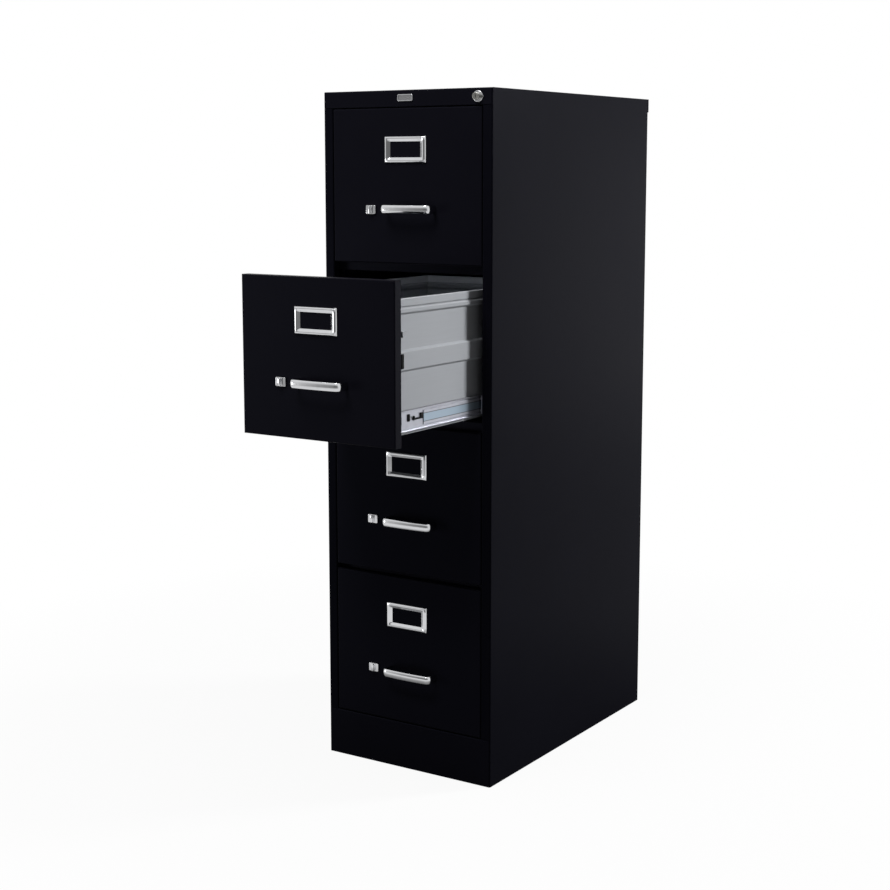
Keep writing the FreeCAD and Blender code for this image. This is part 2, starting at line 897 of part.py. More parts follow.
def drawer_fasteners(number):
    """Handle screws, push nuts of the label holder and rivets of the drawer's slides."""
    top = drawer_top(number)
    inside = front + case_sheet
    pieces = []
    for x in handle_screw_places():
        middle = Vector(x, inside, top - handle_drop)
        shank = rod(screw_radius, middle, -Y_AXIS, case_sheet + handle_hole_depth - screw_end_gap)
        head = rod(screw_head_radius, middle, Y_AXIS, screw_head_height)
        groove = box(
            x - screw_head_radius, x + screw_head_radius,
            inside + screw_head_height / 2, inside + screw_head_height,
            middle.z - screw_slot_width / 2, middle.z + screw_slot_width / 2,
        )
        pieces.append(joined([shank, head.cut(groove)]))
    for x in label_stud_places():
        middle = Vector(x, inside, top - label_drop)
        nut = rod(push_nut_radius, middle, Y_AXIS, push_nut_thickness)
        bore = rod(label_stud_radius + fastener_clearance, middle, Y_AXIS, push_nut_thickness)
        pieces.append(nut.cut(bore))
    rivets = drawer_slide_rivets(number)
    return pieces + rivets + [mirrored(rivet) for rivet in rivets]


def lock_bezel():
    """Ring on the header with a sleeve behind it, in which the plunger slides."""
    start = Vector(lock_centre, front, header_middle)
    ring = rod(bezel_radius, start, -Y_AXIS, bezel_thickness)
    rim = [
        edge for edge in ring.Edges
        if abs(edge.CenterOfMass.y - front + bezel_thickness) < 0.01 and edge.Length > bezel_radius
    ]
    ring = ring.makeFillet(bezel_thickness / 2, rim)
    nub = rod(bezel_nub_radius, start + X_AXIS * bezel_radius, -Y_AXIS, bezel_thickness)
    sleeve = rod(sleeve_radius, start, Y_AXIS, sleeve_length)
    bore_start = start - Y_AXIS * (bezel_thickness + overrun)
    bore_length = bezel_thickness + sleeve_length + 2 * overrun
    bore = rod(plunger_radius + running_clearance, bore_start, Y_AXIS, bore_length)
    return joined([ring, nub, sleeve]).cut(bore)


def lock_face():
    """Front face of the plunger when the lock is open: one travel in front of the bezel."""
    return front - bezel_thickness - lock_travel


def plunger_pin_place():
    """Middle of the cross pin on the plunger's tail."""
    return Vector(lock_centre, lock_face() + plunger_length + tail_length / 2, header_middle)


def lock_plunger():
    """Sliding barrel of the lock, with a cross pin on its tail that lifts the lock bar."""
    start = Vector(lock_centre, lock_face(), header_middle)
    barrel = rod(plunger_radius, start, Y_AXIS, plunger_length)
    rim = [
        edge for edge in barrel.Edges
        if abs(edge.CenterOfMass.y - start.y) < 0.01 and edge.Length > plunger_radius
    ]
    barrel = barrel.makeFillet(plunger_edge, rim)
    bore_length = core_length + running_clearance + overrun
    bore = rod(core_radius + running_clearance, start - Y_AXIS * overrun, Y_AXIS, bore_length)
    tail = rod(tail_radius, start + Y_AXIS * plunger_length, Y_AXIS, tail_length)
    pin = rod(pin_radius, plunger_pin_place(), X_AXIS, pin_reach)
    return joined([barrel.cut(bore), tail, pin])


def lock_core():
    """Key cylinder in the plunger, with its keyway."""
    start = Vector(lock_centre, lock_face(), header_middle)
    core = rod(core_radius, start, Y_AXIS, core_length)
    keyway = box(
        lock_centre - keyway_width / 2, lock_centre + keyway_width / 2,
        start.y - overrun, start.y + keyway_depth,
        header_middle - keyway_height / 2, header_middle + keyway_height / 2,
    )
    return core.cut(keyway)


def lock_bar():
    """Upright bar behind the right stile: a hook at each drawer, a cam slot at its top."""
    x0 = bar_side
    y0 = front + stile_return + bar_behind_stile + bar_gap
    pin = plunger_pin_place()
    top = pin.z + ear_above_pin
    pieces = [box(x0, x0 + bar_width, y0, y0 + bar_thickness, bar_bottom, top)]
    pieces.append(box(x0, x0 + ear_thickness, y0, y0 + ear_length, top - ear_height, top))
    for number in range(1, drawer_count + 1):
        z1 = drawer_top(number) - lug_drop - lug_height - hook_gap
        pieces.append(box(x0 - hook_reach, x0 + overrun, y0, y0 + bar_thickness, z1 - hook_height, z1))
    bar = joined(pieces)
    radius = pin_radius + slot_play
    first = Vector(x0 - overrun, pin.y, pin.z)
    ends = [first, first + Vector(0, lock_travel, -lock_travel)]
    through = ear_thickness + 2 * overrun
    for end in ends:
        bar = bar.cut(rod(radius, end, X_AXIS, through))
    across = Vector(0, 1, 1).normalize() * radius
    corners = [ends[0] + across, ends[1] + across, ends[1] - across, ends[0] - across, ends[0] + across]
    return bar.cut(Part.Face(Part.makePolygon(corners)).extrude(X_AXIS * through))


def lock_bar_guides():
    """Staples on the right front upright, in which the lock bar slides."""
    x0 = bar_side - 2 * bar_gap - case_sheet
    x1 = x0 + bar_width + 4 * bar_gap + 2 * case_sheet
    y0 = front + stile_return + bar_behind_stile - case_sheet
    y1 = front_post_place
    outline = [(x0, y1), (x0, y0), (x1, y0), (x1, y1)]
    guides = []
    for number in range(1, drawer_count):
        z = gap_middle(number)
        guides.append(sheet_along_z(outline, case_sheet, z - bar_guide_height / 2, z + bar_guide_height / 2))
    return guides


def badge_frame():
    """Rounded bright frame of the blank badge on the header."""
    z = case_height - badge_drop
    frame = rounded_block(0, z, badge_width, badge_height, front - badge_thickness, front, badge_corner)
    crest = [edge for edge in frame.Edges if abs(edge.CenterOfMass.y - front + badge_thickness) < 0.01]
    frame = frame.makeFillet(badge_edge, crest)
    return frame.cut(badge_block(front - badge_thickness - overrun, front + overrun))


def badge_block(y0, y1):
    """The field inside the badge frame."""
    z = case_height - badge_drop
    width = badge_width - 2 * badge_rim
    height = badge_height - 2 * badge_rim
    return rounded_block(0, z, width, height, y0, y1, badge_corner - badge_rim / 2)


def build_case():
    """Write every piece of the case."""
    side = side_panel()
    write("right_side_panel", [side])
    write("left_side_panel", [mirrored(side)])
    write("top_panel", [top_panel()])
    write("base_panel", [base_panel()])
    write("bottom_panel", [bottom_panel()])
    write("back_panel", [back_panel()])
    front_post = upright(front_post_place)
    write("front_uprights", [front_post, mirrored(front_post)])
    rear_post = upright(rear_post_place)
    write("rear_uprights", [rear_post, mirrored(rear_post)])
    write("top_cross_rail", [cross_rail()])
    write("divider_rails", [divider_rail(number) for number in range(1, drawer_count)])
    numbers = range(1, drawer_count + 1)
    channels = [case_slide(number) for number in numbers]
    write("case_slide_channels", channels + [mirrored(channel) for channel in channels])
    rivets = [rivet for number in numbers for rivet in case_slide_rivets(number)]
    write("case_slide_rivets", rivets + [mirrored(rivet) for rivet in rivets])
    write("badge_frame", [badge_frame()])
    write("badge_field", [badge_block(front - badge_field_thickness, front)])


def build_lock():
    """Write every piece of the lock."""
    write("lock_bezel", [lock_bezel()])
    write("lock_plunger", [lock_plunger()])
    write("lock_core", [lock_core()])
    write("lock_bar", [lock_bar()])
    write("lock_bar_guides", lock_bar_guides())


def build_drawer(number):
    """Write every piece of one drawer, drawn out as far as it stands in the rest pose."""
    out = -drawer_shift(number)
    name = "drawer_%d_" % number
    slide = drawer_slide(number)
    middle = mid_slide(number)
    pieces = {
        "front": [drawer_front(number)],
        "tray": drawer_tray(number),
        "back": [drawer_back(number)],
        "handle": [handle(number)],
        "label_holder": [label_holder(number)],
        "latch_button": [latch_button(number)],
        "latch_bolt": [latch_bolt(number)],
        "slide_channels": [slide, mirrored(slide)],
        "fasteners": drawer_fasteners(number),
    }
    for piece, shapes in pieces.items():
        write(name + piece, [moved(shape, y=out) for shape in shapes])
    write(name + "mid_slides", [moved(shape, y=out / 2) for shape in (middle, mirrored(middle))])


os.makedirs("parts", exist_ok=True)
build_case()
build_lock()
for drawer_number in range(1, drawer_count + 1):
    build_drawer(drawer_number)
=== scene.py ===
"""Looks of a four-drawer steel filing cabinet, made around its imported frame.

Sizes are in metres. The cabinet stands on the floor at the origin, its drawers open towards -Y,
and its lock is on the +X side. The second drawer from the top rests partly open.
"""

import logging
import math
from contextlib import contextmanager
from dataclasses import dataclass
from enum import Enum
from typing import Any, Callable, Iterator, Optional

import bmesh
import bpy
from mathutils import Matrix, Vector


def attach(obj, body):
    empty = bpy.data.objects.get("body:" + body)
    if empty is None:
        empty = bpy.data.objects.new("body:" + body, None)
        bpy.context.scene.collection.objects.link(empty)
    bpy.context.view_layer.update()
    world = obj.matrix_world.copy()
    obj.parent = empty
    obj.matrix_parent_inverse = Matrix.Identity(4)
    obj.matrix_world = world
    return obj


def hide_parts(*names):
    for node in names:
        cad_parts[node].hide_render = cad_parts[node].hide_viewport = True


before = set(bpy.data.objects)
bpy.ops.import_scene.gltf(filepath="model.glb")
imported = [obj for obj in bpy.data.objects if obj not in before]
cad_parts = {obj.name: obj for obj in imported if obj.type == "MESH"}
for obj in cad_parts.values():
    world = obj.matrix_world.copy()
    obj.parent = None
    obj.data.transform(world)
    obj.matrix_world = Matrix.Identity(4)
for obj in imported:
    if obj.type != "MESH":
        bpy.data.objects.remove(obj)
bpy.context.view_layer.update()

log = logging.getLogger("cabinet")

Colour = tuple[float, float, float, float]
Point = tuple[float, float, float]
Piece = bpy.types.Object

FRONT = -0.3175  # depth of the closed drawers' faces
DRAWER_COUNT = 4
FIRST_TOP = 1.288  # top edge of the first drawer's front
PITCH = 0.301  # from one drawer to the next
OPEN_DRAWER = 2
OPEN_DISTANCE = 0.281
PAN_DEPTH = 0.019  # of a drawer's folded front
RIM_HEIGHT = FIRST_TOP - 0.033  # rim of the first drawer's tray
SLIDE_DROP = 0.248  # from a drawer's top edge to its slides' middle
SAME = 1e-5  # lengths that differ by less are the same
NEARLY = 1e-4  # the same, for places that come out of several steps


def grey(level: float) -> Colour:
    """An even grey of one level."""
    return (level, level, level, 1.0)


def drawer_top(number: int) -> float:
    """Height of the top edge of a drawer's front."""
    return FIRST_TOP - (number - 1) * PITCH


def drawer_face(number: int) -> float:
    """Depth of a drawer's front face in the rest pose."""
    return FRONT - (OPEN_DISTANCE if number == OPEN_DRAWER else 0.0)


# Shader maths


class Field:
    """A number or colour that varies over a surface: one output of a node."""

    def __init__(self, graph: "Graph", socket: bpy.types.NodeSocket) -> None:
        """Keep the node's output.

        Args:
            graph: The nodes that it belongs to.
            socket: The output that this field stands for.
        """
        self.graph = graph
        self.socket = socket

    def _maths(self, operation: str, first: Any, second: Any) -> "Field":
        """One Math node on two values."""
        return self.graph.node("ShaderNodeMath", {"operation": operation}, {0: first, 1: second})

    def __add__(self, other: Any) -> "Field":
        """Sum."""
        return self._maths("ADD", self, other)

    def __sub__(self, other: Any) -> "Field":
        """Difference."""
        return self._maths("SUBTRACT", self, other)

    def __rsub__(self, other: Any) -> "Field":
        """Difference from a number."""
        return self._maths("SUBTRACT", other, self)

    def __mul__(self, other: Any) -> "Field":
        """Product."""
        return self._maths("MULTIPLY", self, other)

    __radd__ = __add__
    __rmul__ = __mul__

    def __truediv__(self, other: Any) -> "Field":
        """Quotient."""
        return self._maths("DIVIDE", self, other)

    def __pow__(self, other: Any) -> "Field":
        """Power."""
        return self._maths("POWER", self, other)

    def __lt__(self, other: Any) -> "Field":
        """1 where this is under the other, else 0."""
        return self._maths("LESS_THAN", self, other)

    def __gt__(self, other: Any) -> "Field":
        """1 where this is over the other, else 0."""
        return self._maths("GREATER_THAN", self, other)

    def __abs__(self) -> "Field":
        """The value without its sign."""
        return self._maths("ABSOLUTE", self, 0.0)

    def at_least(self, other: Any) -> "Field":
        """The larger of two values."""
        return self._maths("MAXIMUM", self, other)

    def at_most(self, other: Any) -> "Field":
        """The smaller of two values."""
        return self._maths("MINIMUM", self, other)

    def clamped(self) -> "Field":
        """The value held between 0 and 1."""
        return self.at_least(0.0).at_most(1.0)

    def around(self, level: Any, swing: float) -> "Field":
        """Noise turned into a value that swings around a level."""
        return level + (self - 0.5) * swing

    def eased(self, start: float, end: float) -> "Field":
        """A soft step from 0 to 1.

        Args:
            start: The value at which it leaves 0.
            end: The value at which it reaches 1.

        Returns:
            The step.
        """
        share = ((self - start) * (1.0 / (end - start))).clamped()
        return share * share * (3.0 - share * 2.0)

    def wrapped(self, low: float, high: float) -> "Field":
        """The value brought into a repeating range."""
        return self.graph.node("ShaderNodeMath", {"operation": "WRAP"}, {0: self, 1: high, 2: low})


@dataclass(frozen=True)
class Grain:
    """A soft noise that varies a finish.

    Attributes:
        scale: Cells per metre.
        detail: How many finer layers it has.
        factors: How much it is squeezed along each axis.
        swing: How much it varies the dullness.
        depth: Its depth where it is a relief.
        strength: The share of that depth that shows.
    """

    scale: float
    detail: float = 2.0
    factors: Point = (1.0, 1.0, 1.0)
    swing: float = 0.0
    depth: float = 0.0
    strength: float = 0.0


class Graph:
    """The nodes of one material or of the world."""

    def __init__(self, tree: bpy.types.NodeTree) -> None:
        """Start with an empty tree.

        Args:
            tree: The node tree to fill.
        """
        self.tree = tree
        self.tree.nodes.clear()

    def node(
        self,
        kind: str,
        settings: Optional[dict[str, Any]] = None,
        inputs: Optional[dict[Any, Any]] = None,
        output: Any = 0,
    ) -> Optional[Field]:
        """Add a node, set it up and fill its sockets.

        Args:
            kind: The node's type.
            settings: Its own settings.
            inputs: The value or field of each input, by name or number.
            output: The output to return, by name or number.

        Returns:
            The chosen output, or None for a node without outputs.
        """
        made = self.tree.nodes.new(kind)
        for name, value in (settings or {}).items():
            setattr(made, name, value)
        for key, value in (inputs or {}).items():
            if isinstance(value, Field):
                self.tree.links.new(value.socket, made.inputs[key])
            else:
                made.inputs[key].default_value = value
        return Field(self, made.outputs[output]) if made.outputs else None

    def axes(self, source: str = "Object") -> tuple[Field, Field, Field]:
        """A point's three coordinates, or in the world a ray's direction.

        Args:
            source: Which coordinates to read.

        Returns:
            The three numbers.
        """
        place = self.node("ShaderNodeTexCoord", output=source)
        split = self.node("ShaderNodeSeparateXYZ", inputs={0: place})
        outputs = split.socket.node.outputs
        return Field(self, outputs[0]), Field(self, outputs[1]), Field(self, outputs[2])

    def noise(self, grain: Grain) -> Field:
        """Soft noise around 0.5, fixed to the object.

        Args:
            grain: Its scale, detail and squeeze.

        Returns:
            The noise's value.
        """
        place = self.node("ShaderNodeTexCoord", output="Object")
        squeeze = {0: place, 1: grain.factors}
        place = self.node("ShaderNodeVectorMath", {"operation": "MULTIPLY"}, squeeze)
        inputs = {"Vector": place, "Scale": grain.scale, "Detail": grain.detail}
        return self.node("ShaderNodeTexNoise", inputs=inputs)

    def blend(self, factor: Any, first: Any, second: Any) -> Field:
        """A colour between two colours."""
        settings = {"data_type": "RGBA", "blend_type": "MIX"}
        return self.node("ShaderNodeMix", settings, {0: factor, 6: first, 7: second}, output=2)

    def relief(self, height: Field, grain: Grain) -> Field:
        """A normal bent by a grain's noise.

        Args:
            height: The noise, from 0 to 1.
            grain: Its depth and strength.

        Returns:
            The normal.
        """
        inputs = {"Height": height, "Distance": grain.depth, "Strength": grain.strength}
        return self.node("ShaderNodeBump", inputs=inputs)


# Finishes


@dataclass(frozen=True)
class Finish:
    """What every finish shares: clouds in its colour and dullness, and a fine texture.

    Attributes:
        name: The material's name.
        dark: The colour in its darker clouds.
        light: The colour in its lighter clouds.
        roughness: How dull it is.
        clouds: Its clouds.
        texture: Its texture, which is a relief.
        gloss: Its reflectance level where it is no metal.
        metal: How metallic it is.
        sheen: The tint of its reflections.
    """

    name: str
    dark: Colour
    light: Colour
    roughness: float
    clouds: Grain
    texture: Grain
    gloss: float = 0.5
    metal: float = 0.0
    sheen: Colour = grey(1.0)

    def clouded(self, graph: Graph, texture: Field) -> Field:
        """What varies its colour and dullness."""
        return graph.noise(self.clouds)

    def colour(self, graph: Graph, cloud: Field) -> Field:
        """Its clouded colour."""
        return graph.blend(cloud, self.dark, self.light)

    def material(self) -> bpy.types.Material:
        """Build the material.

        Returns:
            The new material.
        """
        made = bpy.data.materials.new(self.name)
        made.use_nodes = True
        graph = Graph(made.node_tree)
        texture = graph.noise(self.texture)
        cloud = self.clouded(graph, texture)
        dullness = cloud.around(self.roughness, self.clouds.swing)
        inputs = {
            "Base Color": self.colour(graph, cloud),
            "Metallic": self.metal,
            "Roughness": texture.around(dullness, self.texture.swing),
            "Specular IOR Level": self.gloss,
            "Specular Tint": self.sheen,
            "Normal": graph.relief(texture, self.texture),
        }
        surface = graph.node("ShaderNodeBsdfPrincipled", inputs=inputs)
        graph.node("ShaderNodeOutputMaterial", inputs={"Surface": surface})
        return made


@dataclass(frozen=True)
class Enamel(Finish):
    """Baked black enamel on sheet steel, with faint clouds and a fine orange peel."""

    dark: Colour = (0.0034, 0.0034, 0.0056, 1.0)
    light: Colour = (0.0050, 0.0050, 0.0080, 1.0)
    roughness: float = 0.36
    clouds: Grain = Grain(7.0, 3.0, swing=0.1)
    texture: Grain = Grain(650.0, 1.0, swing=0.06, depth=0.00005, strength=0.35)
    gloss: float = 0.009
    sheen: Colour = (0.50, 0.58, 1.0, 1.0)


@dataclass(frozen=True)
class RolledSteel(Finish):
    """Pale coated sheet steel, with soft clouds and streaks along its rolling direction.

    Inside, its rim carries a painted highlight: a paler band just below the rim's top edge.

    Attributes:
        painted_rim_highlight: The colour of the painted highlight on the rim.
        inside: How far across the tray's inner faces reach.
        rim_margin: How far above the rim the painted highlight band begins.
        rim_fade: Between which depths below that the band ends.
        least_rim_highlight: How strong the painted highlight is in its darkest clouds.
        rim_highlight_swing: How much stronger it is in its lightest.
    """

    dark: Colour = (0.360, 0.375, 0.400, 1.0)
    light: Colour = (0.410, 0.425, 0.452, 1.0)
    roughness: float = 0.48
    clouds: Grain = Grain(9.0, swing=0.2)
    texture: Grain = Grain(260.0, 3.0, (1.0, 0.03, 1.0), depth=0.00004, strength=0.3)
    gloss: float = 0.08
    painted_rim_highlight: Colour = (0.82, 0.84, 0.87, 1.0)
    inside: float = 0.1566
    rim_margin: float = 0.001
    rim_fade: tuple[float, float] = (0.0135, 0.0155)
    least_rim_highlight: float = 0.8
    rim_highlight_swing: float = 0.4

    def clouded(self, graph: Graph, texture: Field) -> Field:
        """Its clouds and streaks, half and half."""
        return texture * 0.5 + graph.noise(self.clouds) * 0.5

    def colour(self, graph: Graph, cloud: Field) -> Field:
        """Its clouded colour with the painted highlight on the rim, by height and side.

        Args:
            graph: The nodes to add to.
            cloud: What varies its colour.

        Returns:
            The colour.
        """
        x, _, z = graph.axes()
        # painted highlight: the tray's inner faces are painted paler just below the rim's top edge
        drop = (RIM_HEIGHT + self.rim_margin - z).wrapped(0.0, PITCH)
        rim_highlight_strength = self.least_rim_highlight + graph.noise(self.clouds) * self.rim_highlight_swing
        rim_highlight_mask = (abs(x) < self.inside) * (1.0 - drop.eased(*self.rim_fade)) * rim_highlight_strength
        return graph.blend(rim_highlight_mask.clamped(), super().colour(graph, cloud), self.painted_rim_highlight)


@dataclass(frozen=True)
class Zinc(Finish):
    """Bright zinc plate, cloudy and a little bluish, with fine rolling marks."""

    dark: Colour = (0.30, 0.305, 0.35, 1.0)
    light: Colour = (0.42, 0.43, 0.48, 1.0)
    roughness: float = 0.34
    clouds: Grain = Grain(55.0, 3.0, swing=0.15)
    texture: Grain = Grain(900.0, 1.0, (1.0, 0.1, 1.0), depth=0.00003, strength=0.3)
    metal: float = 0.6


@dataclass(frozen=True)
class BandedZinc(Zinc):
    """Zinc plate of the drawers' slides: a bluer web, painted shade in two creases and on outer
    edges.

    Heights are taken up and down from a slide's middle.

    Attributes:
        band: The colour of the web.
        painted_shade: The colour of the painted shade and the painted shadow.
        web: Between which places across the web lies.
        band_reach: Height of the bluer band's edge.
        crease_height: Height of a crease.
        crease_fade: Between which distances from a crease its painted shade ends.
        crease_shade: How strong the painted shade in a crease is.
        edge_fade: Between which heights the painted shadow on an outer edge begins.
        edge_shadow: How strong the painted shadow on an edge is.
    """

    band: Colour = (0.26, 0.33, 0.40, 1.0)
    painted_shade: Colour = (0.035, 0.038, 0.042, 1.0)
    web: tuple[float, float] = (0.1590, 0.1602)
    band_reach: float = 0.0068
    crease_height: float = 0.0074
    crease_fade: tuple[float, float] = (0.0004, 0.0011)
    crease_shade: float = 0.8
    edge_fade: tuple[float, float] = (0.0182, 0.0188)
    edge_shadow: float = 0.85

    def colour(self, graph: Graph, cloud: Field) -> Field:
        """Its clouded colour with the band, the painted shade and the painted shadow, by height
        and side.

        Args:
            graph: The nodes to add to.
            cloud: What varies its colour.

        Returns:
            The colour.
        """
        x, _, z = graph.axes()
        lowest = drawer_top(DRAWER_COUNT) - SLIDE_DROP
        height = abs((z - lowest).wrapped(-PITCH / 2, PITCH / 2))
        side = abs(x)
        web = (side > self.web[0]) * (side < self.web[1])
        colour = super().colour(graph, cloud)
        colour = graph.blend((height < self.band_reach) * web, colour, self.band)
        # painted shade: dark lines along the two creases of the web
        crease_shade_mask = 1.0 - abs(height - self.crease_height).eased(*self.crease_fade)
        colour = graph.blend(crease_shade_mask * web * self.crease_shade, colour, self.painted_shade)
        # painted shadow: darker along the slides' outer edges
        return graph.blend(height.eased(*self.edge_fade) * self.edge_shadow, colour, self.painted_shade)


@dataclass(frozen=True)
class Chrome(Finish):
    """Polished chrome plate with a breath of haze and faint buffing marks along it."""

    dark: Colour = (0.56, 0.565, 0.58, 1.0)
    light: Colour = (0.66, 0.665, 0.68, 1.0)
    roughness: float = 0.08
    clouds: Grain = Grain(90.0, swing=0.04)
    texture: Grain = Grain(1500.0, 1.0, (0.06, 1.0, 1.0), depth=0.00001, strength=0.4)
    metal: float = 1.0


@dataclass(frozen=True)
class Moulded(Finish):
    """Black moulded plastic or rubber with a fine grain in colour, dullness and height."""

    dark: Colour = (0.0012, 0.0012, 0.0016, 1.0)
    light: Colour = (0.0032, 0.0032, 0.0038, 1.0)
    roughness: float = 0.6
    clouds: Grain = Grain(1800.0, swing=0.2)
    texture: Grain = Grain(1800.0, depth=0.00004, strength=0.4)
    gloss: float = 0.05


@dataclass(frozen=True)
class BrushedField(Finish):
    """Plain brushed grey field of the badge, left without words, whose strokes are no relief."""

    dark: Colour = (0.16, 0.16, 0.17, 1.0)
    light: Colour = (0.24, 0.24, 0.24, 1.0)
    roughness: float = 0.45
    clouds: Grain = Grain(2500.0, 2.0, (0.03, 1.0, 1.0), 0.2)
    texture: Grain = Grain(2500.0, 2.0, (0.03, 1.0, 1.0))
    metal: float = 0.6


class Look(Enum):
    """The finishes of the cabinet, by what wears them."""

    CASE = Enamel("case_enamel")
    FRONT = Enamel(
        "front_enamel", (0.0046, 0.0044, 0.0070, 1.0), (0.0060, 0.0058, 0.0088, 1.0), gloss=0.022
    )
    RAIL = Enamel(
        "rail_enamel", (0.0120, 0.0116, 0.0170, 1.0), (0.0160, 0.0155, 0.0220, 1.0), gloss=0.03
    )
    TRAY = RolledSteel("tray_steel")
    SLIDE = BandedZinc("slide_zinc_plate")
    MIDDLE = Zinc("middle_zinc_plate", (0.30, 0.30, 0.33, 1.0), (0.42, 0.42, 0.46, 1.0))
    FASTENER = Zinc("fastener_zinc_plate", roughness=0.28)
    CHROME = Chrome("bright_chrome")
    NICKEL = Chrome("lock_nickel_plate", (0.30, 0.30, 0.28, 1.0), (0.52, 0.51, 0.48, 1.0), 0.18)
    FIELD = BrushedField("badge_brushed_field")
    MOULDED = Moulded("moulded_black")

    def __init__(self, finish: Finish) -> None:
        """Keep the finish, whose material is built when it is first asked for."""
        self.finish = finish
        self.built: Optional[bpy.types.Material] = None

    @property
    def material(self) -> bpy.types.Material:
        """The finish's material, built once.

        Returns:
            The material.
        """
        if self.built is None:
            self.built = self.finish.material()
        return self.built


# Modelling by hand


class Kind(Enum):
    """What a pick in edit mode picks."""

    VERTICES = "VERT"
    EDGES = "EDGE"
    FACES = "FACE"


class Facing(Enum):
    """Which way a new sheet faces, by how it is turned."""

    UP = (0.0, 0.0, 0.0)
    FRONT = (math.pi / 2, 0.0, 0.0)
    SIDE = (math.pi / 2, 0.0, math.pi / 2)


class Bench:
    """One new piece on the workbench: started as a flat sheet and shaped in edit mode."""

    def __init__(self, name: str) -> None:
        """Clear the bench.

        Args:
            name: The new piece's name.
        """
        self.name = name
        self.piece: Optional[Piece] = None
        bpy.ops.object.select_all(action="DESELECT")

    def sheet(self, facing: Facing, place: Point, width: float, height: float) -> None:
        """Start from a flat sheet, with its place in its mesh.

        Args:
            facing: Which way it faces.
            place: Its middle.
            width: Its size across, or on a side to the back.
            height: Its size upwards, or where it faces up to the back.
        """
        bpy.ops.mesh.primitive_plane_add(size=1, location=place, rotation=facing.value)
        self.piece = bpy.context.object
        self.piece.name = self.name
        self.piece.data.name = self.name
        self.piece.scale = (width, height, 1.0)
        bpy.ops.object.transform_apply(location=True, rotation=True, scale=True)

    @contextmanager
    def shaping(self) -> Iterator[None]:
        """Edit mode with nothing selected, left again at the end."""
        bpy.ops.object.mode_set(mode="EDIT")
        bpy.ops.mesh.select_mode(type="FACE")
        bpy.ops.mesh.select_all(action="DESELECT")
        yield
        bpy.ops.object.mode_set(mode="OBJECT")

    def pick(self, kind: Kind, test: Callable[[Any], bool]) -> None:
        """Select only what passes a test.

        Args:
            kind: Vertices, edges or faces.
            test: Says whether an element is picked.
        """
        bpy.ops.mesh.select_mode(type=kind.value)
        bpy.ops.mesh.select_all(action="DESELECT")
        mesh = bmesh.from_edit_mesh(self.piece.data)
        stock = {Kind.VERTICES: mesh.verts, Kind.EDGES: mesh.edges, Kind.FACES: mesh.faces}[kind]
        for item in [item for item in stock if test(item)]:
            item.select_set(True)
        mesh.select_flush_mode()
        bmesh.update_edit_mesh(self.piece.data)

    def pick_all(self, kind: Kind) -> None:
        """Select everything."""
        self.pick(kind, lambda item: True)

    @staticmethod
    def pull(x: float = 0.0, y: float = 0.0, z: float = 0.0) -> None:
        """Extrude what is selected along a way."""
        bpy.ops.mesh.extrude_region_move(TRANSFORM_OT_translate={"value": (x, y, z)})

    @staticmethod
    def shift(x: float = 0.0, y: float = 0.0, z: float = 0.0) -> None:
        """Move what is selected."""
        bpy.ops.transform.translate(value=(x, y, z))

    @staticmethod
    def inset(width: float, rise: float = 0.0) -> None:
        """Set the selected faces in by an even width, and lift them off the surface."""
        bpy.ops.mesh.inset(thickness=width, depth=rise, use_even_offset=True)

    def round_corners(self, radius: float) -> None:
        """Round the corner points of a flat sheet."""
        self.pick_all(Kind.VERTICES)
        bpy.ops.mesh.bevel(
            offset=radius, offset_type="OFFSET", segments=4, affect="VERTICES", profile=0.5
        )

    def modify(self, kind: str, **settings: Any) -> "Bench":
        """Add a modifier and apply it.

        Args:
            kind: The modifier's type.
            **settings: Its settings.

        Returns:
            The bench.
        """
        modifier = self.piece.modifiers.new(kind.lower(), kind)
        for name, value in settings.items():
            setattr(modifier, name, value)
        bpy.context.view_layer.objects.active = self.piece
        bpy.ops.object.modifier_apply(modifier=modifier.name)
        return self

    def mirrored(self, x: float = 0.0, z: Optional[float] = None) -> "Bench":
        """Add the other half across an upright plane, and if asked across a level one.

        Args:
            x: Place of the upright plane across.
            z: Height of the level plane, or None for no such plane.

        Returns:
            The bench.
        """
        way = Vector((x, 0.0, z or 0.0))
        self.piece.data.transform(Matrix.Translation(-way))
        axes = (True, False, z is not None)
        self.modify("MIRROR", use_axis=axes, use_clip=True, merge_threshold=SAME)
        self.piece.data.transform(Matrix.Translation(way))
        return self

    def eased(self, width: float, segments: int = 3, angle: float = 60.0) -> "Bench":
        """Round the sharp edges.

        Args:
            width: The width of each rounding.
            segments: How many faces make it.
            angle: Edges sharper than this are rounded, in degrees.

        Returns:
            The bench.
        """
        return self.modify(
            "BEVEL", width=width, segments=segments, limit_method="ANGLE",
            angle_limit=math.radians(angle), use_clamp_overlap=True,
        )

    def closed(self) -> "Bench":
        """Merge doubles and turn every face outwards.

        Returns:
            The bench.
        """
        with self.shaping():
            bpy.ops.mesh.select_all(action="SELECT")
            bpy.ops.mesh.remove_doubles(threshold=SAME / 10)
            bpy.ops.mesh.normals_make_consistent(inside=False)
        return self

    def smoothed(self, angle: float = 40.0) -> "Bench":
        """Shade smoothly across the flatter edges.

        Args:
            angle: Edges sharper than this stay sharp, in degrees.

        Returns:
            The bench.
        """
        self.piece.select_set(True)
        bpy.context.view_layer.objects.active = self.piece
        bpy.ops.object.shade_smooth_by_angle(angle=math.radians(angle))
        return self

    def fitted(self, look: Look, body: str, slot: str, *nodes: str) -> Piece:
        """Give the piece its finish and its place on the cabinet.

        Args:
            look: Its finish.
            body: The body that it moves with.
            slot: The record's material slot; not used.
            *nodes: The solids that it stands for.

        Returns:
            The finished piece.
        """
        self.piece.data.materials.clear()
        self.piece.data.materials.append(look.material)
        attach(self.piece, body)
        if nodes:
            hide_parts(*nodes)
        self.piece.select_set(False)
        log.info("made %s on %s", self.name, body)
        return self.piece


